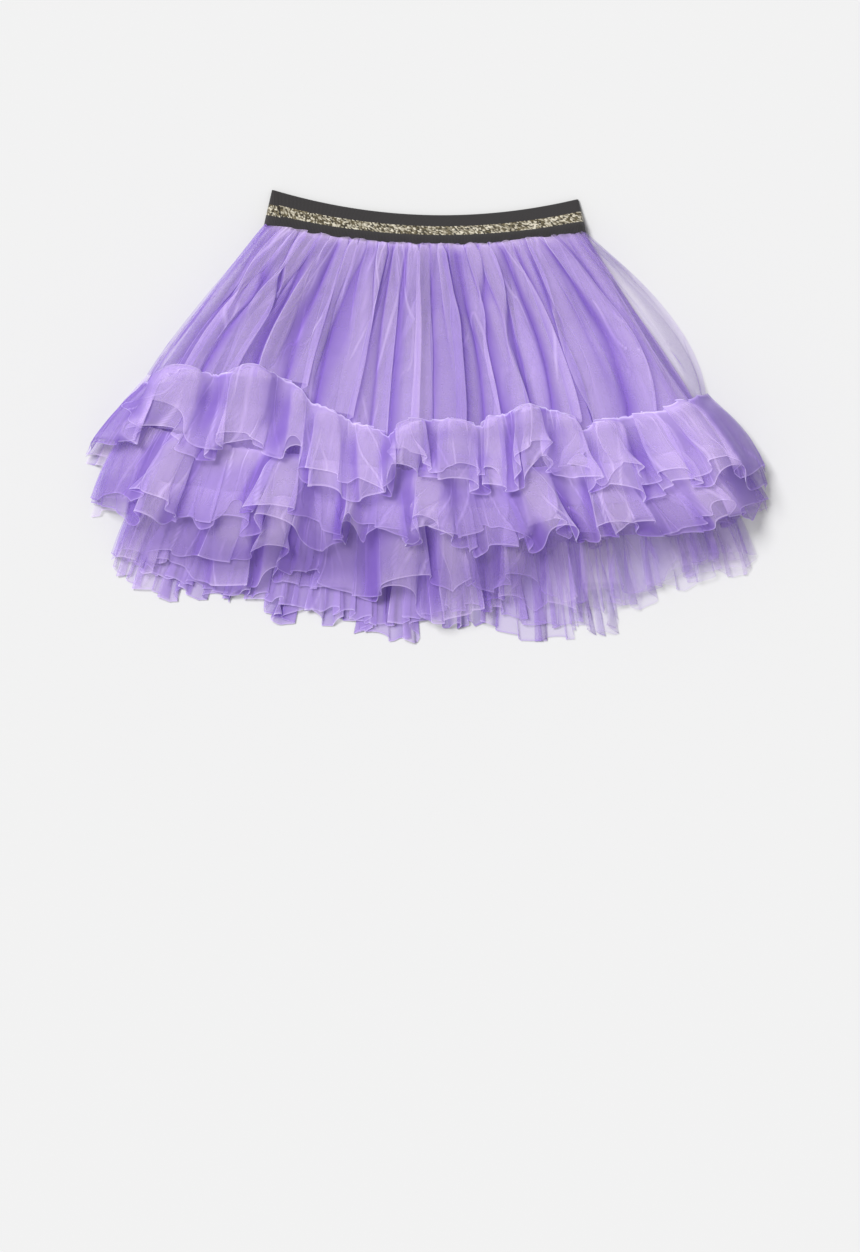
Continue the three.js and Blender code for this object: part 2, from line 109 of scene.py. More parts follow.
def dyed_nylon_tulle(name):
    """Sheer net, soft and matt. Its cover attribute says how many times over the threads lie at a place,
    and its shade attribute how far the place lies in the shade of folds. That shade is painted: it mixes
    the colour towards a darker purple and makes the net more opaque. Where the threads crowd most, the
    colour is lightened into a painted highlight."""
    material, tree = new_material(name)
    cover = add_node(tree, "ShaderNodeAttribute", attribute_name="cover").outputs["Fac"]
    painted_shade = add_node(tree, "ShaderNodeAttribute", attribute_name="painted_shade").outputs["Fac"]
    uv = add_node(tree, "ShaderNodeUVMap", uv_map="cloth").outputs["UV"]
    holes = add_node(
        tree, "ShaderNodeTexVoronoi", {"Vector": uv, "Scale": 1000 / NET_CELL},
        voronoi_dimensions="2D", feature="DISTANCE_TO_EDGE",
    ).outputs["Distance"]
    net = add_node(
        tree, "ShaderNodeMapRange",
        {"Value": holes, 1: 0.0, 2: THREAD_REACH, 3: COVER_ON_THREAD, 4: COVER_IN_HOLE},
    ).outputs["Result"]
    uneven = add_node(
        tree, "ShaderNodeTexNoise", {"Vector": uv, "Scale": PATCHES, "Detail": 2.0}, noise_dimensions="2D",
    ).outputs["Fac"]
    uneven = add_node(
        tree, "ShaderNodeMapRange",
        {"Value": uneven, 1: 0.3, 2: 0.7, 3: PATCH_COVERS[0], 4: PATCH_COVERS[1]},
    ).outputs["Result"]
    threads = add_node(tree, "ShaderNodeMath", {0: cover, 1: net}, operation="MULTIPLY").outputs[0]
    threads = add_node(tree, "ShaderNodeMath", {0: threads, 1: uneven}, operation="MULTIPLY").outputs[0]
    # The net is made more opaque where the painted shade lies
    closed = add_node(
        tree, "ShaderNodeMath", {0: painted_shade, 1: PAINTED_SHADE_CLOSES, 2: 1.0}, operation="MULTIPLY_ADD",
    ).outputs[0]
    threads = add_node(tree, "ShaderNodeMath", {0: threads, 1: closed}, operation="MULTIPLY").outputs[0]
    clear = add_node(tree, "ShaderNodeMath", {0: 1 - OPEN_COVER, 1: threads}, operation="POWER").outputs[0]
    # Painted highlight: where the threads crowd most, the lilac is lightened towards a pale colour and keeps
    # less of the painted shade
    painted_highlight = add_node(
        tree, "ShaderNodeMapRange", {"Value": cover, 1: HIGHLIGHT_FROM, 2: HIGHLIGHT_BY},
    ).outputs["Result"]
    dye_and_painted_light = add_node(
        tree, "ShaderNodeMix", {0: painted_highlight, 6: linear(TULLE_LILAC), 7: linear(TULLE_PAINTED_HIGHLIGHT)},
        data_type="RGBA",
    ).outputs[2]
    takes = add_node(
        tree, "ShaderNodeMapRange", {"Value": painted_highlight, 3: 1.0, 4: HIGHLIGHT_SHADED},
    ).outputs["Result"]
    # Painted shade: the colour is darkened towards a deep purple in the slits, in the gaps between flutes
    # and under the ruffles
    painted_shade_mix = add_node(tree, "ShaderNodeMath", {0: painted_shade, 1: takes}, operation="MULTIPLY").outputs[0]
    dye_and_painted_light = add_node(
        tree, "ShaderNodeMix", {0: painted_shade_mix, 6: dye_and_painted_light, 7: linear(TULLE_PAINTED_SHADE)}, data_type="RGBA",
    ).outputs[2]
    thread = add_node(
        tree, "ShaderNodeBsdfPrincipled",
        {"Base Color": dye_and_painted_light, "Roughness": 0.75, "Sheen Weight": 0.2, "Sheen Roughness": 0.5},
    ).outputs[0]
    glow = add_node(tree, "ShaderNodeBsdfTranslucent", {"Color": dye_and_painted_light}).outputs[0]
    nylon = add_node(tree, "ShaderNodeMixShader", {0: THREAD_GLOW, 1: thread, 2: glow}).outputs[0]
    gap = add_node(tree, "ShaderNodeBsdfTransparent").outputs[0]
    sheer = add_node(tree, "ShaderNodeMixShader", {0: clear, 1: nylon, 2: gap}).outputs[0]
    add_node(tree, "ShaderNodeOutputMaterial", {"Surface": sheer})
    return material


TULLE = dyed_nylon_tulle("dyed nylon tulle")

# The pile of pieces laid so far, as a height map that each piece is let down on. A new piece bridges the
# hollows between the folds below it and comes down at its sides.
CELL = 2.5
MAP_LOW = np.array([-300, -200])  # x and y of the map's first cell
MAP_CELLS = (160, 240)  # along y and x
CLEARANCE = 0.3
BRIDGE_REACH = 4  # cells
SIDE_START = 0.92  # how far out from a piece's middle it begins to come down
SOFTNESS = 1.2  # how gently a piece comes to lie on what is under it

pile = np.zeros(MAP_CELLS)


def mix(a, b, share):
    return a + (b - a) * share


def smoothstep(low, high, value):
    t = np.clip((value - low) / (high - low), 0, 1)
    return t * t * (3 - 2 * t)


def windowed(heights, reach, pick):
    """Replaces each cell by pick, np.max or np.mean, of the square of cells within reach."""
    for axis in (0, 1):
        margin = [(reach, reach) if a == axis else (0, 0) for a in (0, 1)]
        padded = np.pad(heights, margin, mode="edge")
        count = heights.shape[axis]
        heights = pick([np.take(padded, range(k, k + count), axis) for k in range(2 * reach + 1)], axis=0)
    return heights


def read_map(heights, x, y, cell=CELL):
    """The height at x and y, passing evenly from one cell to the next."""
    column = np.clip((x - MAP_LOW[0]) / cell, 0, heights.shape[1] - 1.001)
    row = np.clip((y - MAP_LOW[1]) / cell, 0, heights.shape[0] - 1.001)
    i, j = row.astype(int), column.astype(int)
    u, v = column - j, row - i
    near = mix(heights[i, j], heights[i, j + 1], u)
    return mix(near, mix(heights[i + 1, j], heights[i + 1, j + 1], u), v)


def bed_of_pile():
    """Gives the function that says how high a new piece lies on the pile as it is now."""
    bridged = windowed(windowed(pile, BRIDGE_REACH, np.max), BRIDGE_REACH, np.mean)
    bare = pile.copy()

    def bed_at(x, y, share):
        sideward = smoothstep(SIDE_START, 1, np.abs(2 * share - 1))
        height = mix(read_map(bridged, x, y), read_map(bare, x, y), sideward)
        return height + CLEARANCE * np.minimum(height, 1)

    return bed_at


def let_down(x, y, z, loft):
    """Keeps a layer, with its loft, above the pile, and adds it to the pile."""
    support = windowed(windowed(pile, 1, np.max), 2, np.mean)
    rest = read_map(support, x, y) + loft / 2 + CLEARANCE
    z = rest + SOFTNESS * np.logaddexp(0, (z - rest) / SOFTNESS)
    column = np.clip(np.round((x - MAP_LOW[0]) / CELL).astype(int), 0, MAP_CELLS[1] - 1)
    row = np.clip(np.round((y - MAP_LOW[1]) / CELL).astype(int), 0, MAP_CELLS[0] - 1)
    np.maximum.at(pile, (row, column), z + loft / 2)
    return z


def wander(across, along, seed):
    """Smooth random values from -1 to 1, with about one hill or hollow to each unit."""
    lattice = np.random.default_rng(seed).uniform(-1, 1, (257, 61))
    i, j = np.floor(across).astype(int), np.floor(along).astype(int)
    u, v = smoothstep(0, 1, across - i), smoothstep(0, 1, along - j)
    i, j = i % 256, j % 60
    low = mix(lattice[i, j], lattice[i + 1, j], u)
    return mix(low, mix(lattice[i, j + 1], lattice[i + 1, j + 1], u), v)


LINE_STEPS = 40


def line_through(points):
    """A smooth line through points, as a function of 0 to 1 along its length."""
    points = np.array(points, float)
    ends = np.vstack([2 * points[0] - points[1], points, 2 * points[-1] - points[-2]])
    steps = np.linspace(0, len(points) - 1, LINE_STEPS * len(points))
    i = np.minimum(steps.astype(int), len(points) - 2)
    t = (steps - i)[:, None]
    a, b, c, d = ends[i], ends[i + 1], ends[i + 2], ends[i + 3]
    line = b + 0.5 * t * (c - a + t * (2 * a - 5 * b + 4 * c - d + t * (3 * (b - c) + d - a)))
    length = np.append(0, np.cumsum(np.hypot(*np.diff(line, axis=0).T)))
    return lambda share: (
        np.interp(share, length / length[-1], line[:, 0]),
        np.interp(share, length / length[-1], line[:, 1]),
    )


CRISPNESS = 0.6  # power that turns a wave into a pleat with a broad top and a narrow foot
PLEAT_LAP = 0.26  # how far a pleat's top leans over its foot, as a share of its length


def pleats(strand, down, length, seed):
    """Crisp small pleats that come and go. Gives their height and sideways lap, both for a height of 1."""
    present = smoothstep(-0.3, 0.5, wander(strand / (4 * length), down * 1.6, seed))
    turns = strand / length + 0.9 * wander(strand / (3 * length), down * 1.2, seed + 1)
    height = present * (np.abs(np.cos(math.pi * turns)) ** CRISPNESS - 0.5)
    return height, PLEAT_LAP * length * present * np.sin(2 * math.pi * turns)


CREASE_APART, CREASE_WIDE = 10, 0.55
CREASE_SLANTS = (0.0, 0.1, -0.12)  # one set of creases for each, as millimetres across to one down


def creases_with_painted_highlight(strand, drop, seed):
    """Thin lines, from 0 to 1, where the net was folded sharply, which come and go down the cloth. They add
    thread, and where it crowds enough they also take the tulle's painted highlight.
    """
    lines = np.zeros_like(strand)
    for k, slant in enumerate(CREASE_SLANTS):
        sway = 0.3 * wander(strand / 60, drop / 110, seed + 3 * k)
        across = (strand + slant * drop) / CREASE_APART + sway
        level = wander(across, drop / 220, seed + 3 * k + 1)
        slope = np.gradient(level, axis=1) / (strand[0, 1] - strand[0, 0])
        distance = np.abs(level) / (np.abs(slope) + 1e-6)
        present = smoothstep(0.0, 0.6, wander(strand / 20, drop / 55, seed + 3 * k + 2))
        lines = np.maximum(lines, np.exp(-((distance / CREASE_WIDE) ** 2)) * present)
    return lines


def folds_at(share, wides):
    """Which fold a place across the cloth is in, and how far through it."""
    edges = np.append(0, np.cumsum(wides)) / np.sum(wides)
    fold = np.clip(np.searchsorted(edges, share, side="right") - 1, 0, len(wides) - 1)
    return fold, np.clip((share - edges[fold]) / np.diff(edges)[fold], 0, 1)


tulle_pieces = []  # each sheet, with the painted shade that its colour is worked out from once all of them lie
CRIMP_MOST = 3  # how many times over the crimped cloth is counted, at most
SIDES_OPEN, SIDES_OPEN_FROM = 0.55, 0.82  # the crimp at the side folds, and how far out it begins to open
TAUT_CRIMP = 0.27  # where a side is drawn out taut
STEEPEST = 0.22  # how level a place is counted at least, with 1 for a flat one
SEAM_LINE, HEM_LINE = 1.3, 0.8  # how wide the threads crowd there
CREASE_CROWD = 1.4  # how much more thread a sharp crease shows, which also lightens it towards the painted highlight
CREASE_SEED = 2000


def sheet_piece(
    name, columns, rows, shape, cut, doubled=1.0, taut_from=None, painted_dusk=0.0, painted_hollow_shade=0.0, lines=(0, 0),
    close_rows=0.0
):
    """A sheet of tulle of the flat size cut. shape gives x, y, z and the painted shade of its folds for each
    place across and down it. lines says how much thread its seam and its hem add, and close_rows how much
    closer the mesh's rows lie near them."""
    mesh = bpy.data.meshes.new(name)
    grid = bmesh.new()
    bmesh.ops.create_grid(grid, x_segments=columns, y_segments=rows, size=0.5)
    grid.to_mesh(mesh)
    grid.free()
    flat = np.empty(len(mesh.vertices) * 3, np.float32)
    mesh.vertices.foreach_get("co", flat)
    flat = flat.reshape(-1, 3).round(5)
    order = np.lexsort((flat[:, 0], -flat[:, 1]))
    across = np.unique(flat[:, 0]) + 0.5
    down = np.unique(flat[:, 1]) + 0.5
    down = down - close_rows * np.sin(2 * math.pi * down) / (2 * math.pi)
    share, down = np.meshgrid(across, down)
    *points, painted_fold_shade = shape(share, down)
    points = np.stack(points, axis=-1)
    placed = np.empty_like(flat)
    placed[order] = points.reshape(-1, 3) / 1000
    mesh.vertices.foreach_set("co", placed.ravel())

    # Threads lie closer where the cloth is crimped too finely for this mesh, and where it stands steeply
    right = np.gradient(points, axis=1)
    below = np.gradient(points, axis=0)
    normal = np.cross(below, right)
    normal /= np.linalg.norm(normal, axis=2, keepdims=True) + 1e-9
    drawn = np.linalg.norm(np.diff(points, axis=1), axis=2).sum(axis=1, keepdims=True)
    crimp = doubled * np.clip(cut[0] / drawn, 1, CRIMP_MOST)
    crimp = mix(crimp, SIDES_OPEN, smoothstep(SIDES_OPEN_FROM, 1, np.abs(2 * share - 1)))
    if taut_from:
        crimp = mix(crimp, TAUT_CRIMP, smoothstep(*taut_from, share))
    steep = 1 / np.clip(np.abs(normal[:, :, 2]), STEEPEST, 1)
    strand, drop = share * cut[0], down * cut[1]
    # Seams, hems and sharp creases crowd the threads, which makes the net denser and, where the cover runs
    # high, lightens its colour into a painted highlight
    crowd = 1 + lines[0] * np.exp(-((drop / SEAM_LINE) ** 2))
    crowd = crowd + lines[1] * np.exp(-(((1 - down) * cut[1] / HEM_LINE) ** 2))
    crowd = crowd + CREASE_CROWD * creases_with_painted_highlight(strand, drop, CREASE_SEED + 10 * len(tulle_pieces))
    cover = np.empty(len(flat), np.float32)
    cover[order] = (crimp * steep * crowd).reshape(-1)
    # The painted shade of the folds, kept until the colour is worked out once all pieces lie
    depth = np.empty(len(flat), np.float32)
    depth[order] = painted_fold_shade.reshape(-1)
    mesh.attributes.new("cover", "FLOAT", "POINT").data.foreach_set("value", cover)

    place = np.empty((len(flat), 2), np.float32)
    place[order] = np.stack([strand, drop], axis=-1).reshape(-1, 2) / 1000
    corners = np.empty(len(mesh.loops), np.int32)
    mesh.loops.foreach_get("vertex_index", corners)
    mesh.uv_layers.new(name="cloth").data.foreach_set("uv", place[corners].ravel())
    mesh.polygons.foreach_set("use_smooth", np.ones(len(mesh.polygons), bool))
    mesh.materials.append(TULLE)
    mesh.update()
    piece = bpy.data.objects.new(name, mesh)
    bpy.context.scene.collection.objects.link(piece)
    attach(piece, "root")
    tulle_pieces.append((piece, painted_dusk, painted_hollow_shade, depth))
    return piece


# A ruffle is two strips of tulle laid together, gathered, and sewn along the gathers to a skirt's lower
# edge. The gathers spring open at once into stiff flutes, and each flute swells back over the seam. Valleys
# part the flutes. The strips part at the hem, the under one a little longer.
Valley = namedtuple("Valley", "seam_x seam_y hem_x hem_y")
Flute = namedtuple("Flute", "wide high puff lift lean")  # puff is its swell, lift how far its hem turns up
RUFFLE_ROWS, CLOSE_ROWS = 40, 0.55
RUFFLE_FULLNESS = 1.35
RUFFLE_LOFT = 0.4
SWELL_TAKES = 6  # how much longer a strip is cut than it lies, for its swell over the seam
SHOULDER = 0.22  # how far down a flute swells most, as a share of the strip
UNDER_LONGER, UNDER_LOWER = 9, 0.8
UNDER_STRAY = (13, 8)  # how far an under strip's valleys stray at the hem from those of the top strip
# The least painted shade that an under strip of a ruffle takes
UNDER_PAINTED_DUSK = 0.12
HEM_ARC = 4  # how much shorter a strip hangs on a flute's crest
GAP_PAINTED_SHADE, TALLEST = 0.45, 13  # how far the painted shade darkens a gap between two flutes, and the flute that stays free of it
OPEN_AT_SEAM, OPEN_BY = 0.35, 0.3  # how open a flute is at the seam, and how far down it is quite open
PRESSED_CURL, PRESSED_COVER = 0.35, 1.25  # of a ruffle pressed flat by its neighbours
BROAD_CREASE, FINE_CREASE, GATHER, FLUTTER = 1.6, 0.5, 0.7, 1.2  # heights of its waves
SMALL_PLEAT, SMALL_HIGH, SMALL_LAP = 15, 1.7, 0.8  # length, height and lap of the small pleats
SEAM_THREAD, HEM_THREAD = 2.0, 1.9  # how much thread the sewn gathers and the cut hem show, which also lightens them towards the painted highlight


def valleys_along(seam, hem, flutes):
    """Spreads the valleys along a seam and a hem, as far apart as the flutes between them are wide."""
    edges = np.append(0, np.cumsum([flute.wide for flute in flutes]))
    share = edges / edges[-1]
    rows = np.stack([*line_through(seam)(share), *line_through(hem)(share)], axis=1)
    return [Valley(*row) for row in rows]


def blended(values, fold, phase):
    """A value of each fold, which passes into its neighbour's around the valley between them."""
    before, after = values[np.maximum(fold - 1, 0)], values[np.minimum(fold + 1, len(values) - 1)]
    here = values[fold]
    left = 0.5 * (before - here) * (1 - smoothstep(0, 0.2, phase))
    right = 0.5 * (after - here) * smoothstep(0.8, 1, phase)
    return here + left + right


def lay_strip(
    name, valleys, flutes, bed_at, seed, under, pressed, columns_per_flute, sides, painted_dusk, painted_hollow_shade, stray,
    sheer_from
):
    """Lays one strip of a ruffle, and gives it with its flat size."""
    chance = np.random.default_rng(seed)
    count = len(flutes)
    edge = np.array(valleys, float)
    table = np.array(flutes, float)
    if under:
        edge[1:-1, 2:] += chance.uniform(-1, 1, (count - 1, 2)) * UNDER_STRAY
        table[:, 3] = 0.5 * table[:, 3] + chance.uniform(-4, 8, count)
    else:
        edge[1:-1, 2:] += chance.uniform(-1, 1, (count - 1, 2)) * stray
    wide = np.hypot(*np.diff(edge[:, 2:], axis=0).T)
    hem_long = wide.sum()
    sag = chance.uniform(-0.2, 0.4, count)
    curl = PRESSED_CURL if pressed else 1.0
    overhang = chance.uniform(0.8, 1.7, count)
    pinch = chance.uniform(0.25, 0.55, count)
    tilt = chance.uniform(-5, 5, count)
    depth = float(np.mean(edge[:, 1] - edge[:, 3]))
    cut = (RUFFLE_FULLNESS * hem_long, depth + (UNDER_LONGER if under else 0) + SWELL_TAKES)

    def shape(share, down):
        inward = np.clip(np.minimum(share, 1 - share) * count, 0, 1)
        strand = share * cut[0]
        warp = wander(share * count * 0.9, down * 1.2 + 3, seed + 1) * (0.05 + 0.25 * down) / count
        if under:
            warp = warp + wander(share * count * 0.6, down * 0.5, seed + 2) * 0.4 / count
        fold, phase = folds_at(np.clip(share + warp * inward, 0, 1), wide)
        start_x, start_y, end_x, end_y = (mix(edge[fold, k], edge[fold + 1, k], phase) for k in range(4))
        high, puff, lift, lean = (blended(table[:, k], fold, phase) for k in (1, 2, 3, 4))
        width = blended(wide, fold, phase)
        open_up = mix(OPEN_AT_SEAM, 1, np.sin(np.minimum(down / OPEN_BY, 1) * math.pi / 2))
        crest = (1 - np.cos(2 * math.pi * phase)) / 2
        if pressed:
            crest = np.maximum(0, crest - pressed) / (1 - pressed)
        plateau = crest**CRISPNESS
        x = mix(start_x, end_x, down)
        gaping = width * open_up * inward / (4 * math.pi)
        x = x + overhang[fold] * gaping * np.sin(4 * math.pi * phase) * down**0.5
        x = x - 2 * pinch[fold] * gaping * np.sin(2 * math.pi * phase)
        x = x + lean * crest * down
        shoulder = np.exp(-(((down - SHOULDER) / SHOULDER) ** 2))
        y = mix(start_y, end_y, down)
        x = x + sides[1] * np.sin(math.pi * down) * smoothstep(0.85, 1, share)
        x = x - sides[0] * np.sin(math.pi * down) * smoothstep(0.85, 1, 1 - share)
        y = y + crest * (puff * shoulder + curl * (lift + HEM_ARC) * down**1.5)
        y = y + curl * tilt[fold] * np.sin(2 * math.pi * phase) * down**1.5
        y = y + 1.2 * wander(strand / 5, 0 * down, seed + 9) * np.exp(-((down / 0.12) ** 2))
        if under:
            longer = UNDER_LONGER * (0.85 + 0.85 * wander(share * count * 0.8, 0 * down, seed + 10))
            y = y - longer * down**2
        rise = open_up * (1 - sag[fold] * smoothstep(0.4, 1, down))
        rise = rise * (UNDER_LOWER if under else 1.0)
        creases = BROAD_CREASE * wander(strand / 24, down * 0.8, seed + 3) * smoothstep(0.05, 0.5, down)
        creases = creases + FINE_CREASE * wander(strand / 9, down * 0.9, seed + 4) * (1 - 0.6 * down)
        gathers = GATHER * wander(strand / 4, down * 1.2, seed + 5) * np.exp(-((down / SHOULDER) ** 2))
        flutter = FLUTTER * wander(strand / 11, 0 * down, seed + 6) * smoothstep(0.7, 1, down)
        small, small_lap = pleats(strand, down * 0.6, SMALL_PLEAT, seed + 11)
        creases = creases + SMALL_HIGH * small * smoothstep(0, 0.2, down)
        x = x + (wander(strand / 13, down * 1.2 + 7, seed + 7) + SMALL_LAP * small_lap) * inward
        y = y + 1.8 * wander(strand / 17, 0 * down, seed + 8) * down**2 * inward
        z = bed_at(x, y, share) + RUFFLE_LOFT + high * plateau * rise + creases + gathers + flutter
        z = let_down(x, y, np.maximum(z, RUFFLE_LOFT / 2), RUFFLE_LOFT)
        # Painted shade in the gaps between the flutes, darkest beside low flutes, fading out towards the
        # strip's ends and its seam
        gap = GAP_PAINTED_SHADE * smoothstep(0.25, 0.8, 1 - high * plateau / TALLEST)
        gap = gap * smoothstep(0.02, 0.16, np.minimum(share, 1 - share))
        return x, y, z, gap * smoothstep(0.1, 0.4, down)

    piece = sheet_piece(
        name, columns_per_flute * count, RUFFLE_ROWS, shape, cut,
        doubled=PRESSED_COVER if pressed else 1.0, taut_from=sheer_from, painted_dusk=painted_dusk, painted_hollow_shade=painted_hollow_shade,
        lines=(0 if painted_hollow_shade else SEAM_THREAD, HEM_THREAD), close_rows=CLOSE_ROWS,
    )
    return piece, cut


def lay_ruffle(
    node, valleys, flutes, seed, pressed=0.0, columns_per_flute=46, sides=(3, 3), painted_dusk=0.0,
    painted_hollow_shade=1.0, stray=(0, 0), sheer_from=None
):
    """Lays a ruffle's two strips, the longer one first. pressed is how much of each flute is pressed flat,
    sides how far the side folds bulge, and stray how far the valleys stray at the hem. Its dusk and hollow
    shares are the painted shade of the layers over the ruffle, and sheer_from is where it opens out into a
    single layer."""
    bed_at = bed_of_pile()
    for part, under in (("under", True), ("top", False)):
        name = f"{node}_{part}"
        piece, cut = lay_strip(
            name, valleys, flutes, bed_at, seed + 20 * under, under, pressed, columns_per_flute, sides,
            max(painted_dusk, UNDER_PAINTED_DUSK) if under else painted_dusk, painted_hollow_shade, stray, sheer_from,
        )
        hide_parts(node)


# A skirt is a tube of tulle gathered into the waistband's lower edge. Pleats leave the elastic side by side
# and run together into broad folds, each lapping over the next, with narrow slits between them.
Gather = namedtuple("Gather", "wide high lap")
SKIRT_LOFT = 0.7
FOLD_SLIT_PAINTED_SHADE, PLEAT_FOOT_PAINTED_SHADE = 0.92, 0.8  # how far the painted shade darkens the slits between folds and between pleats
SAG_X = 12  # where the waistband hangs lowest
# Each edge of the waistband: its lowest y, how it curves up from there, and half its width
BAND_TOP = {"low": 154.0, "bow": 1.13e-3, "half": 119.5}
BAND_BOTTOM = {"low": 129.5, "bow": 8.3e-4, "half": 125.5}
TUCK = 0.02  # how far up the waistband the gathers are sewn in
TUCK_LEFT, TUCK_RIGHT = -126, 122.5
LEFT_BULGE, RIGHT_BULGE = 1.12, 1.75  # powers that make a side stand out on its way down
BULGE_ONSET = 3  # power that keeps the right one to the right side
TAUT_SIDE, TAUT_FLATTENS = (0.86, 0.93), 0.75  # where a side that stands out is drawn flat, and how much
NARROW_AT_BAND = 0.52  # a fold's width at the band, as a share of its width at the seam below
BLUNT, KEEN = 0.15, 0.6  # powers that give a fold a broad top with a narrow foot, or a rounder one
FOLD_LEAN, FOLD_OVERHANG = 0.45, 0.7
PLEAT, PLEAT_HIGH, PLEAT_LEAN = 8.5, 4.2, 0.27  # the gathers at the elastic: pitch, height and lean
PLEAT_SHORT, PLEAT_LONG = 0.15, 0.95  # how far down they reach, as a share of the skirt
SKIRT_BROAD, SKIRT_FINE = 1.3, 0.35  # heights of its waves
SKIRT_SMALL, SKIRT_SMALL_HIGH = 16, 2.8


def band_y(x, up):
    """Where the waistband lies at x, with up going from 0 at its lower edge to 1 at its upper one."""
    low = mix(BAND_BOTTOM["low"], BAND_TOP["low"], up)
    bow = mix(BAND_BOTTOM["bow"], BAND_TOP["bow"], up)
    return low + bow * (x - SAG_X) ** 2


def lay_skirt(
    node, to, gathers, cut, seed, bulge=1.0, pressed=0.0, columns=500, rows=60, painted_dusk=0.0
):
    """Lays a skirt from the waistband down to a seam. bulge is how far its right side stands out, and
    pressed how much of each fold is pressed flat."""
    table = np.array(gathers, float)
    count = len(gathers)
    bed_at = bed_of_pile()
    end_at = line_through(to)
    wide = table[:, 0] / table[:, 0].sum() * (to[-1][0] - to[0][0])

    def shape(share, down):
        strand = share * cut[0]
        inward = np.clip(np.minimum(share, 1 - share) * count, 0, 1)
        warp = wander(share * count * 0.6, down * 1.6, seed + 1) * mix(0.7, 0.3, down) / count * inward
        fold, phase = folds_at(np.clip(share + warp, 0, 1), wide)
        taut = 1.0
        if bulge > 1:
            taut = 1 - TAUT_FLATTENS * smoothstep(*TAUT_SIDE, share) * smoothstep(0.1, 0.3, down)
        high, lap = (blended(table[:, k], fold, phase) * taut for k in (1, 2))
        width = blended(wide, fold, phase) * mix(NARROW_AT_BAND, 1, down)
        open_up = mix(0.3, 1, np.sin(np.minimum(down / 0.5, 1) * math.pi / 2))
        crest = (1 - np.cos(2 * math.pi * phase)) / 2
        if pressed:
            crest = np.maximum(0, crest - pressed) / (1 - pressed)
        keen = mix(BLUNT, KEEN, (1 + wander(fold * 3.7, down * 2.5, seed + 9)) / 2)
        plateau = crest**keen
        start_x = mix(TUCK_LEFT, TUCK_RIGHT, share)
        start_y = band_y(start_x, TUCK) + 1.3 * wander(strand / 7, 0 * down, seed + 7)
        end_x, end_y = end_at(share)
        bow = 1 - (1 - down) ** mix(LEFT_BULGE, bulge, share**BULGE_ONSET)
        x = mix(start_x, end_x, bow)
        lean = lap * crest - FOLD_LEAN / (2 * math.pi) * np.sin(2 * math.pi * phase)
        x = x + lean * width * open_up
        x = x + FOLD_OVERHANG / (4 * math.pi) * np.sin(4 * math.pi * phase) * width * open_up
        y = mix(start_y, end_y, down)
        pleat = strand / cut[0] * (TUCK_RIGHT - TUCK_LEFT) / PLEAT
        pleat = pleat + 0.8 * wander(share * 14, down, seed + 2)
        reach = mix(PLEAT_SHORT, PLEAT_LONG, (1 + wander(share * 30, 0 * down, seed + 3)) / 2)
        fade = np.exp(-((down / reach) ** 2))
        ridge = np.abs(np.cos(math.pi * pleat)) ** CRISPNESS
        fine = PLEAT_HIGH * (ridge - 0.5) * fade
        free = smoothstep(0, 0.06, down)
        x = x + PLEAT_LEAN * PLEAT * np.sin(2 * math.pi * pleat) * fade * inward * free
        soft = SKIRT_BROAD * wander(strand / 26, down * 1.1, seed + 4) * smoothstep(0.1, 0.5, down)
        soft = soft + SKIRT_FINE * wander(strand / 10, down * 1.2, seed + 5)
        small, small_lap = pleats(strand, down, SKIRT_SMALL, seed + 8)
        soft = soft + SKIRT_SMALL_HIGH * small * smoothstep(0, 0.2, down)
        x = x + (1.2 * wander(strand / 18, down * 1.6 + 5, seed + 6) + SMALL_LAP * small_lap) * inward
        z = bed_at(x, y, share) + SKIRT_LOFT / 2 + high * plateau * open_up
        z = z + (fine + soft) * mix(0.5, 1, free)
        z = let_down(x, y, np.maximum(z, SKIRT_LOFT / 2), SKIRT_LOFT)
        # Painted shade in the slits between the folds and at the feet of the gathers at the elastic
        slit_shade = FOLD_SLIT_PAINTED_SHADE * taut * (1 - plateau) ** 1.2
        foot_shade = PLEAT_FOOT_PAINTED_SHADE * fade * (1 - ridge) ** 1.5
        return x, y, z, (1 - (1 - slit_shade) * (1 - foot_shade)) * free

    piece = sheet_piece(
        node + "_tulle", columns, rows, shape, cut, taut_from=TAUT_SIDE if bulge > 1 else None, painted_dusk=painted_dusk
    )
    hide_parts(node)


# The waistband's back lies first on the surface, and the tulle lies on it
ELASTIC_THICK = 1.5
BAND_CENTRE = -1.5
for across in np.arange(-BAND_BOTTOM["half"], BAND_BOTTOM["half"], CELL / 2) + BAND_CENTRE:
    for up in np.arange(0, 1.01, 0.1):
        row = int(round((band_y(across, up) - MAP_LOW[1]) / CELL))
        column = int(round((across - MAP_LOW[0]) / CELL))
        pile[row, column] = ELASTIC_THICK

# The seams and hems as they lie, from the left side to the right, and the flutes and gathers along them
UPPER_SEAM = [(-218, 30), (-146, 11), (-52, -13), (2, -17), (104, -14), (166, -6), (217, 14)]
UPPER_HEM = [(-266, -32), (-178, -47), (-64, -59), (20, -55), (100, -58), (217, -58), (263, -42)]
MIDDLE_SEAM = [(-231, -9), (-150, -28), (-50, -43), (2, -46), (104, -44), (170, -37), (228, -24)]
MIDDLE_HEM = [(-262, -66), (-162, -80), (-45, -99), (20, -98), (80, -102), (166, -93), (235, -81),
              (266, -67)]
LOWER_SEAM = [(-216, -52), (-150, -63), (-50, -73), (2, -75), (104, -74), (170, -69), (228, -59)]
LOWER_HEM = [(-246, -109), (-177, -120), (-122, -126), (-52, -143), (2, -147), (104, -143), (150, -136),
             (213, -124), (257, -110)]
LOWER_HEM_BACK = [(-243, -110), (-194, -132), (-138, -143), (-95, -151), (-37, -165), (10, -156),
                  (52, -155), (90, -166), (126, -160), (165, -144), (207, -120), (249, -111)]

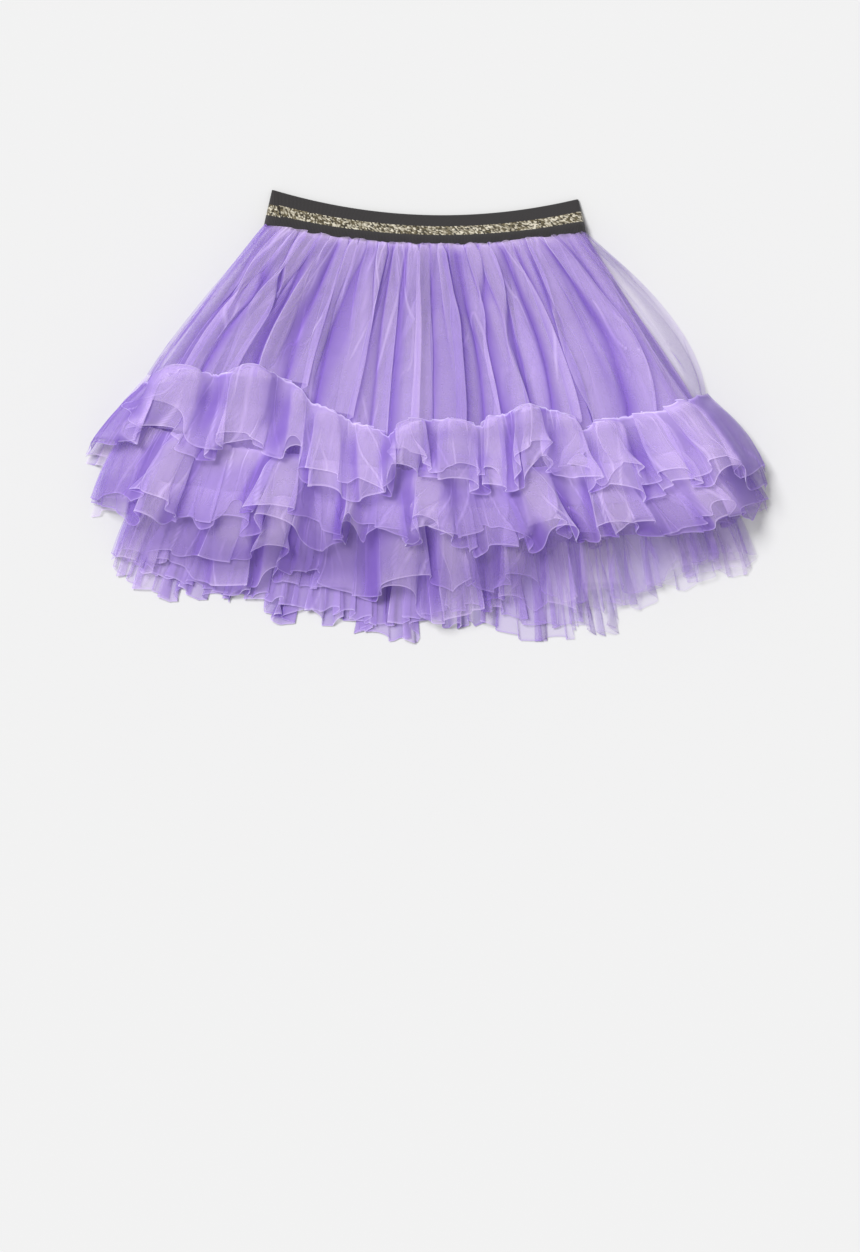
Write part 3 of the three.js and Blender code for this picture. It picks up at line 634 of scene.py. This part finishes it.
UPPER_FLUTES = [
    Flute(45, 9, 3, 2, -4), Flute(52, 13, 11, 12, -6), Flute(40, 15, 14, 6, -5), Flute(31, 12, 9, 5, 3),
    Flute(24, 8, 2, 0, 0), Flute(20, 7, 1, 4, 0), Flute(31, 9, 2, -3, 0), Flute(34, 14, 10, 9, -3),
    Flute(36, 12, 8, 4, 4), Flute(19, 10, 9, 0, 0), Flute(37, 16, 15, 12, -2), Flute(38, 13, 10, 2, 6),
    Flute(33, 10, 5, 6, 0), Flute(25, 9, 5, 3, 0), Flute(29, 11, 7, 5, 3), Flute(30, 12, 7, 4, 4),
    Flute(26, 8, 2, 0, 4),
]
MIDDLE_FLUTES = [
    Flute(36, 7, 0, 0, -3), Flute(44, 13, 3, 10, -9), Flute(22, 3, 2, -5, -3), Flute(30, 3, 2, 11, 7),
    Flute(46, 14, 4, 4, -10), Flute(20, 3, 2, -6, 3), Flute(33, 12, 4, 10, -6), Flute(27, 3, 2, -3, 5),
    Flute(40, 14, 5, 14, -8), Flute(20, 3, 2, -7, 3), Flute(29, 3, 3, 2, 8), Flute(45, 14, 5, 13, 6),
    Flute(21, 3, 2, -4, -6), Flute(42, 12, 4, 9, -5), Flute(30, 3, 2, -4, 8), Flute(39, 11, 3, 8, 5),
    Flute(28, 7, 0, 0, 3),
]
LOWER_FLUTES = [
    Flute(31, 7, 0, 0, -3), Flute(28, 3, 2, 8, -8), Flute(50, 12, 3, -5, 6), Flute(30, 13, 3, 12, 9),
    Flute(21, 3, 1, -3, 0), Flute(38, 4, 2, -6, -8), Flute(54, 16, 4, 9, 0), Flute(36, 15, 4, 0, 8),
    Flute(21, 3, 1, -6, -4), Flute(37, 12, 2, 10, -9), Flute(29, 10, 3, -3, 7), Flute(38, 12, 2, 9, -4),
    Flute(24, 3, 1, -5, 5), Flute(40, 10, 2, 7, 8), Flute(35, 7, 0, 0, 3),
]
GATHER_WIDES = [26, 22, 24, 19, 23, 20, 15, 25, 17, 14, 23, 18, 20, 15, 21, 22, 15, 25, 17, 22, 24, 25, 22]
GATHER_HIGHS = [4, 5, 8, 5, 9, 6, 4, 9, 5, 4, 8, 5.5, 9, 5, 7, 9, 5, 8, 5, 8, 7, 5, 4]
GATHER_LAPS = [-0.3, -0.4, 0.3, -0.5, -0.45, 0.35, -0.3, 0.5, -0.4, 0.3, 0.5, -0.35, 0.5, -0.3, 0.45, 0.5,
               -0.35, 0.5, 0.3, -0.4, 0.45, 0.35, 0.3]
OUTER_GATHERS = [Gather(*row) for row in zip(GATHER_WIDES, GATHER_HIGHS, GATHER_LAPS)]
BACK_FLATTER = 3
BACK_GATHERS = [Gather(g.wide, g.high / BACK_FLATTER, -g.lap) for g in reversed(OUTER_GATHERS)]
HIDDEN_WIDES, HIDDEN_HIGH, HIDDEN_LAPS = (20, 25, 30, 20, 25, 30, 20), 2.5, (0.3, -0.4) * 4
HIDDEN_GATHERS = [Gather(wide, HIDDEN_HIGH, lap) for wide, lap in zip(HIDDEN_WIDES, HIDDEN_LAPS)]
PRESSED = 0.3
HIDDEN_PAINTED_DUSK = 0.45  # how much darker the inner layers are painted, as shaded by those over them
# The painted shade of the lower back ruffle and of the middle and upper front ruffles
LOWER_BACK_PAINTED_DUSK, MIDDLE_PAINTED_DUSK, UPPER_PAINTED_DUSK = 0.35, 0.12, 0.06
LOWER_SHEER = (0.4, 0.8)  # the lower ruffle opens out towards the right, to one sheer layer
STRAY = (11, 11)
HIDDEN_COLUMNS = 18  # to a flute, on the ruffles that don't show
OUTER_CUT, MIDDLE_CUT, INNER_CUT = (450, 170), (440, 196), (430, 222)


def mirrored(flutes):
    return [Flute(f.wide, f.high, f.puff, f.lift, -f.lean) for f in reversed(flutes)]


def split(flutes):
    """Presses each flute into three narrow pleats."""
    parts = ((0.28, 0.6), (0.42, 0.45), (0.3, 0.55))
    return [Flute(wide * f.wide, high * f.high, *f[2:]) for f in flutes for wide, high in parts]


# The outer skirt's back and its ruffle lie on the surface
back_flutes = mirrored(UPPER_FLUTES)
back_valleys = valleys_along(UPPER_SEAM, UPPER_HEM, back_flutes)
lay_ruffle(
    "ruffle_upper_back", back_valleys, back_flutes, 100, PRESSED, HIDDEN_COLUMNS,
)
lay_skirt(
    "outer_back", UPPER_SEAM, BACK_GATHERS, OUTER_CUT, 200, RIGHT_BULGE, PRESSED, columns=280,
)

# The middle skirt's back and its ruffle
back_flutes = mirrored(MIDDLE_FLUTES)
back_valleys = valleys_along(MIDDLE_SEAM, MIDDLE_HEM, back_flutes)
lay_ruffle(
    "ruffle_middle_back", back_valleys, back_flutes, 300, PRESSED, HIDDEN_COLUMNS,
)
lay_skirt(
    "middle_back", MIDDLE_SEAM, HIDDEN_GATHERS, MIDDLE_CUT, 400, columns=300, rows=40,
    painted_dusk=HIDDEN_PAINTED_DUSK,
)

# The inner skirt and its ruffle, back and front. The back of it is the longest, and shows below the rest.
back_flutes = split(mirrored(LOWER_FLUTES))
back_valleys = valleys_along(LOWER_SEAM, LOWER_HEM_BACK, back_flutes)
lay_ruffle(
    "ruffle_lower_back", back_valleys, back_flutes, 500, PRESSED, HIDDEN_COLUMNS,
    painted_dusk=LOWER_BACK_PAINTED_DUSK, sheer_from=LOWER_SHEER,
)
lay_skirt(
    "inner_back", LOWER_SEAM, HIDDEN_GATHERS, INNER_CUT, 600, columns=300, rows=40,
    painted_dusk=HIDDEN_PAINTED_DUSK,
)
lay_skirt(
    "inner_front", LOWER_SEAM, HIDDEN_GATHERS, INNER_CUT, 700, columns=300, rows=40,
    painted_dusk=HIDDEN_PAINTED_DUSK,
)
lower_valleys = valleys_along(LOWER_SEAM, LOWER_HEM, LOWER_FLUTES)
lay_ruffle(
    "ruffle_lower_front", lower_valleys, LOWER_FLUTES, 800, painted_hollow_shade=0.4, stray=STRAY,
    sheer_from=LOWER_SHEER,
)

# The middle skirt's front and its ruffle
lay_skirt(
    "middle_front", MIDDLE_SEAM, HIDDEN_GATHERS, MIDDLE_CUT, 900, columns=400, rows=50,
    painted_dusk=HIDDEN_PAINTED_DUSK,
)
middle_valleys = valleys_along(MIDDLE_SEAM, MIDDLE_HEM, MIDDLE_FLUTES)
lay_ruffle(
    "ruffle_middle_front", middle_valleys, MIDDLE_FLUTES, 1000, painted_dusk=MIDDLE_PAINTED_DUSK,
    stray=STRAY,
)

# The outer skirt's front and its ruffle, whose flutes stand out one by one. At the left two large ones have
# turned up, and their hems with them.
FRONT_VALLEYS = [
    Valley(-218, 22, -266, -33), Valley(-212, 20, -236, -20), Valley(-159, 27, -166, -28),
    Valley(-104, 22, -112, -36), Valley(-90, 6, -96, -46), Valley(-60, -9, -62, -60),
    Valley(-29, -20, -29, -58), Valley(5, -8, 10, -50), Valley(41, -14, 44, -52), Valley(57, -4, 58, -60),
    Valley(92, 1, 96, -50), Valley(119, -16, 134, -56), Valley(150, -6, 172, -58),
    Valley(179, -2, 205, -56), Valley(203, 8, 240, -55), Valley(217, 14, 263, -47),
]
FRONT_FLUTES = [
    Flute(32, 8, 2, 0, -4), Flute(70, 14, 18, 30, -14), Flute(54, 18, 20, 12, -10), Flute(19, 12, 8, 16, 5),
    Flute(37, 10, 5, 0, -3), Flute(33, 9, 5, -4, 6), Flute(40, 16, 13, 18, -8), Flute(34, 12, 10, 2, 7),
    Flute(16, 13, 12, 8, -3), Flute(39, 18, 13, 26, 4), Flute(38, 14, 10, -2, 12), Flute(38, 11, 9, 14, 5),
    Flute(33, 10, 5, 6, 6), Flute(35, 12, 10, 14, 6), Flute(24, 9, 4, 4, 8),
]
front_seam = [(valley.seam_x, valley.seam_y) for valley in FRONT_VALLEYS]
lay_skirt(
    "outer_front", front_seam, OUTER_GATHERS, OUTER_CUT, 1100, RIGHT_BULGE, columns=900,
    rows=80,
)
lay_ruffle(
    "ruffle_upper_front", FRONT_VALLEYS, FRONT_FLUTES, 1200, columns_per_flute=60,
    sides=(3, 9), painted_dusk=UPPER_PAINTED_DUSK, painted_hollow_shade=0.0, stray=(3, 3),
)

# Painted shade: the tulle's colour is darkened in the slits between its own folds and below the ruffles
# beside it. This finds how far each place lies below the skyline of the folds around it.
SHADE_CELL = 1.25
# How many cells around count, how deep a place has to lie, and how far the painted shade darkens it
SLIT_PAINTED_SHADE = {"reach": 2, "depth": 2.2, "most": 0.9}
HOLLOW_PAINTED_SHADE = {"reach": 4, "depth": 12.0, "most": 0.15}
UNEVENNESS = 1.2  # the skyline wavers by this much where the mesh is coarser than its cells
DEEPENING = 1.3  # power that keeps shallow waves free of much painted shade
LOBE_WIDE, LOBE_HIGH, LOBE_SEED = 28, 40, 50  # patches in which the painted shade under the ruffles comes and goes


def skyline(placed):
    """A map of how high the pieces reach, softened a little. placed holds each one's x, y and z."""
    finer = int(CELL / SHADE_CELL)
    heights = np.zeros((MAP_CELLS[0] * finer, MAP_CELLS[1] * finer))
    for x, y, z in placed:
        row = ((y - MAP_LOW[1]) / SHADE_CELL).astype(int)
        column = ((x - MAP_LOW[0]) / SHADE_CELL).astype(int)
        np.maximum.at(heights, (row, column), z)
    return windowed(windowed(heights, 1, np.max), 1, np.mean)


def painted_shade_below(heights, kind, x, y, z):
    """How far the painted shade darkens a place that lies below the skyline around it."""
    around = windowed(windowed(heights, kind["reach"], np.max), kind["reach"], np.mean)
    below = np.maximum(0, read_map(around, x, y, SHADE_CELL) - z - UNEVENNESS)
    return kind["most"] * (1 - np.exp(-((below / kind["depth"]) ** DEEPENING)))


def vertices_of(piece):
    points = np.empty(len(piece.data.vertices) * 3, np.float32)
    piece.data.vertices.foreach_get("co", points)
    return points.reshape(-1, 3).T * 1000


whole = skyline([vertices_of(piece) for piece, *_ in tulle_pieces])
# Each place's painted shade, from its layer's dusk, its folds' slits and gaps, and its depth below the
# skyline, stored as an attribute for the colour
for piece, painted_dusk, painted_hollow_shade, depth in tulle_pieces:
    at = vertices_of(piece)
    painted_light = (1 - painted_dusk) * (1 - depth) * (1 - painted_shade_below(skyline([at]), SLIT_PAINTED_SHADE, *at))
    across, along = (at[0] - MAP_LOW[0]) / LOBE_WIDE, (at[1] - MAP_LOW[1]) / LOBE_HIGH
    lobes = smoothstep(-0.6, 0.6, wander(across, along, LOBE_SEED))
    painted_light = painted_light * (1 - painted_hollow_shade * lobes * painted_shade_below(whole, HOLLOW_PAINTED_SHADE, *at))
    painted_shade = piece.data.attributes.new("painted_shade", "FLOAT", "POINT")
    painted_shade.data.foreach_set("value", (1 - painted_light).astype(np.float32))

# The waistband is a loop of 25 mm woven elastic: charcoal, with a stripe of gold and silver metallic yarn
# along its middle third. It lies flattened, its lower edge held open by the tulle sewn into it.
ELASTIC_CHARCOAL = "0F0C0D"
ELASTIC_RIB = "1D191A"
YARN_DARK, YARN_GOLD, YARN_SILVER = "1C1811", "665C42", "DCD5C2"
BAND_HIGH = 25.0
STRIPE, STRIPE_RAGGED = (8.6, 16.2), 1.2
RIB = 1.1  # from one rib of the weave to the next
YARN_FLECK = 1.15  # from one fleck of the yarn to the next
YARN_GOLD_AT = 0.45
FUZZ = 900.0  # to the metre
YARN_METAL, YARN_ROUGH, ELASTIC_ROUGH = 0.55, 0.4, 0.8
RIB_DEEP = 0.0004  # metres
JOIN_AT, JOIN_HALF = 0.004, 0.0004  # metres round the loop, where its ends are sewn together unevenly
JOIN_STEP, LAST_STRETCH = 1.0, 0.4  # the stripe's step at the join, and where the loop's last stretch starts
BAND_COLUMNS, BAND_ROWS = 640, 20
HELD_UPS, HELD_OPEN = (0, 0.25, 0.6, 1), (1, 1, 0.35, 0)  # how far open the tulle holds it at each height
GATHER_RIPPLE, RIPPLE_PITCH, RIPPLE_FADE = 0.35, 2.3, 4


def striped_elastic(name):
    """Woven elastic: matt and finely ribbed, with flat metallic yarn that glitters in gold and silver
    flecks of uneven brightness."""
    material, tree = new_material(name)
    uv = add_node(tree, "ShaderNodeUVMap", uv_map="cloth").outputs["UV"]
    axes = add_node(tree, "ShaderNodeSeparateXYZ", {0: uv}).outputs
    along = add_node(tree, "ShaderNodeMath", {0: axes[0], 1: 1000 / RIB}, operation="MULTIPLY").outputs[0]
    ribs = add_node(tree, "ShaderNodeMath", {0: along, 1: 2 * math.pi}, operation="MULTIPLY").outputs[0]
    ribs = add_node(tree, "ShaderNodeMath", {0: ribs}, operation="SINE").outputs[0]
    ribs = add_node(tree, "ShaderNodeMapRange", {"Value": ribs, 1: -1.0, 2: 1.0}).outputs["Result"]
    fuzz = add_node(
        tree, "ShaderNodeTexNoise", {"Vector": uv, "Scale": FUZZ, "Detail": 3.0},
    ).outputs["Fac"]
    charcoal = add_node(
        tree, "ShaderNodeMix", {0: ribs, 6: linear(ELASTIC_CHARCOAL), 7: linear(ELASTIC_RIB)},
        data_type="RGBA",
    ).outputs[2]
    flecks = add_node(
        tree, "ShaderNodeTexVoronoi", {"Vector": uv, "Scale": 1000 / YARN_FLECK, "Randomness": 1.0},
        voronoi_dimensions="2D",
    ).outputs["Color"]
    fleck = add_node(tree, "ShaderNodeSeparateXYZ", {0: flecks}).outputs[0]
    yarn = add_node(tree, "ShaderNodeValToRGB", {"Fac": fleck})
    ramp = yarn.color_ramp
    ramp.elements[0].color = linear(YARN_DARK)
    ramp.elements[1].color = linear(YARN_SILVER)
    ramp.elements.new(YARN_GOLD_AT).color = linear(YARN_GOLD)
    before = add_node(tree, "ShaderNodeMath", {0: axes[0], 1: JOIN_AT}, operation="LESS_THAN").outputs[0]
    last = add_node(
        tree, "ShaderNodeMath", {0: axes[0], 1: LAST_STRETCH}, operation="GREATER_THAN",
    ).outputs[0]
    other_end = add_node(tree, "ShaderNodeMath", {0: before, 1: last}, operation="ADD").outputs[0]
    step = add_node(tree, "ShaderNodeMath", {0: other_end, 1: JOIN_STEP}, operation="MULTIPLY").outputs[0]
    height = add_node(
        tree, "ShaderNodeMath", {0: axes[1], 1: 1000.0, 2: step}, operation="MULTIPLY_ADD",
    ).outputs[0]
    ragged = add_node(
        tree, "ShaderNodeMath", {0: fuzz, 1: STRIPE_RAGGED}, operation="MULTIPLY",
    ).outputs[0]
    height = add_node(tree, "ShaderNodeMath", {0: height, 1: ragged}, operation="ADD").outputs[0]
    above = add_node(tree, "ShaderNodeMath", {0: height, 1: STRIPE[0]}, operation="GREATER_THAN").outputs[0]
    below = add_node(tree, "ShaderNodeMath", {0: height, 1: STRIPE[1]}, operation="LESS_THAN").outputs[0]
    stripe = add_node(tree, "ShaderNodeMath", {0: above, 1: below}, operation="MULTIPLY").outputs[0]
    colour = add_node(
        tree, "ShaderNodeMix", {0: stripe, 6: charcoal, 7: yarn.outputs["Color"]}, data_type="RGBA",
    ).outputs[2]
    join = add_node(
        tree, "ShaderNodeMath", {0: axes[0], 1: JOIN_AT, 2: JOIN_HALF}, operation="COMPARE",
    ).outputs[0]
    colour = add_node(
        tree, "ShaderNodeMix", {0: join, 6: colour, 7: linear(ELASTIC_CHARCOAL)}, data_type="RGBA",
    ).outputs[2]
    shine = add_node(tree, "ShaderNodeMath", {0: stripe, 1: YARN_METAL}, operation="MULTIPLY").outputs[0]
    rough = add_node(
        tree, "ShaderNodeMapRange", {"Value": stripe, 3: ELASTIC_ROUGH, 4: YARN_ROUGH},
    ).outputs["Result"]
    relief = add_node(tree, "ShaderNodeMix", {0: stripe, 2: ribs, 3: fleck}).outputs[0]
    bump = add_node(
        tree, "ShaderNodeBump", {"Height": relief, "Strength": 0.5, "Distance": RIB_DEEP},
    ).outputs[0]
    surface = add_node(
        tree, "ShaderNodeBsdfPrincipled",
        {"Base Color": colour, "Metallic": shine, "Roughness": rough, "Normal": bump, "Sheen Weight": 0.1},
    ).outputs[0]
    add_node(tree, "ShaderNodeOutputMaterial", {"Surface": surface})
    return material


def build_waistband():
    held_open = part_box("waistband")[1].z * 1000
    top_thick = 2 * ELASTIC_THICK + 2 * CLEARANCE
    mesh = bpy.data.meshes.new("waistband_elastic")
    grid = bmesh.new()
    bmesh.ops.create_grid(grid, x_segments=BAND_COLUMNS, y_segments=BAND_ROWS, size=0.5)
    cloth = grid.loops.layers.uv.new("cloth")
    round_length = 4 * BAND_BOTTOM["half"]
    for face in grid.faces:
        for corner in face.loops:
            place = corner.vert.co
            corner[cloth].uv = ((place.x + 0.5) * round_length / 1000, (place.y + 0.5) * BAND_HIGH / 1000)
    for vertex in grid.verts:
        around, up = vertex.co.x + 0.5, vertex.co.y + 0.5
        held = float(np.interp(up, HELD_UPS, HELD_OPEN))
        half_thick = mix(top_thick, held_open, held) / 2 - ELASTIC_THICK / 2
        half_wide = mix(BAND_BOTTOM["half"], BAND_TOP["half"], up) - ELASTIC_THICK / 2
        # The flattened loop's section is two straight walls and two half-round ends, walked round once
        straight = 2 * (half_wide - half_thick)
        turn = math.pi * half_thick
        walk = (around * 2 * (straight + turn)) % (2 * (straight + turn))
        side = 1 if walk < straight + turn else -1
        walk = walk % (straight + turn)
        if walk < straight:
            across, above = side * (walk - straight / 2), side * half_thick
        else:
            angle = (walk - straight) / half_thick
            across = side * (straight / 2 + half_thick * math.sin(angle))
            above = side * half_thick * math.cos(angle)
        x = BAND_CENTRE + across
        ripple = GATHER_RIPPLE * math.sin(x / RIPPLE_PITCH) * max(0, 1 - up * RIPPLE_FADE)
        z = half_thick + ELASTIC_THICK / 2 + above + (ripple if above > 0 else 0)
        vertex.co = (x / 1000, float(band_y(x, up)) / 1000, z / 1000)
    bmesh.ops.remove_doubles(grid, verts=grid.verts, dist=1e-6)
    bmesh.ops.recalc_face_normals(grid, faces=grid.faces)
    grid.to_mesh(mesh)
    grid.free()
    mesh.polygons.foreach_set("use_smooth", np.ones(len(mesh.polygons), bool))
    mesh.materials.append(striped_elastic("charcoal elastic with metallic stripe"))
    piece = bpy.data.objects.new("waistband_elastic", mesh)
    bpy.context.scene.collection.objects.link(piece)
    wall = piece.modifiers.new("wall", "SOLIDIFY")
    wall.thickness = ELASTIC_THICK / 1000
    wall.offset = 0
    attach(piece, "root")
    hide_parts("waistband")


build_waistband()

# The surface, a plain pale table, and the light: a large soft lamp from the upper left and the room's own
FLOOR_GREY = "BEBEBE"
FLOOR_HALF, FLOOR_BELOW = 8, 0.0003  # metres
LAMP_STRENGTH, LAMP_WIDE = 4.2, 20
LAMP_TILTS = (-20, -24)
ROOM_STRENGTH = 0.58

floor_mesh = bpy.data.meshes.new("floor")
grid = bmesh.new()
bmesh.ops.create_grid(grid, x_segments=1, y_segments=1, size=FLOOR_HALF)
bmesh.ops.translate(grid, verts=grid.verts, vec=(0, 0, -FLOOR_BELOW))
grid.to_mesh(floor_mesh)
grid.free()
floor = bpy.data.objects.new("floor", floor_mesh)
bpy.context.scene.collection.objects.link(floor)
material, tree = new_material("pale table")
paint = add_node(tree, "ShaderNodeBsdfDiffuse", {"Color": linear(FLOOR_GREY)}).outputs[0]
add_node(tree, "ShaderNodeOutputMaterial", {"Surface": paint})
floor_mesh.materials.append(material)

lamp = bpy.data.objects.new("lamp", bpy.data.lights.new("lamp", "SUN"))
lamp.data.energy = LAMP_STRENGTH
lamp.data.angle = math.radians(LAMP_WIDE)
lamp.rotation_euler = (math.radians(LAMP_TILTS[0]), math.radians(LAMP_TILTS[1]), 0)
bpy.context.scene.collection.objects.link(lamp)

world = bpy.data.worlds.new("room")
world.use_nodes = True
world.node_tree.nodes["Background"].inputs["Color"].default_value = (1, 1, 1, 1)
world.node_tree.nodes["Background"].inputs["Strength"].default_value = ROOM_STRENGTH
bpy.context.scene.world = world

# Light passes through many layers of net, so a ray is followed through all of them
scene = bpy.context.scene
scene.view_settings.view_transform = "Standard"
scene.cycles.transparent_max_bounces = 40
scene.cycles.max_bounces = 8
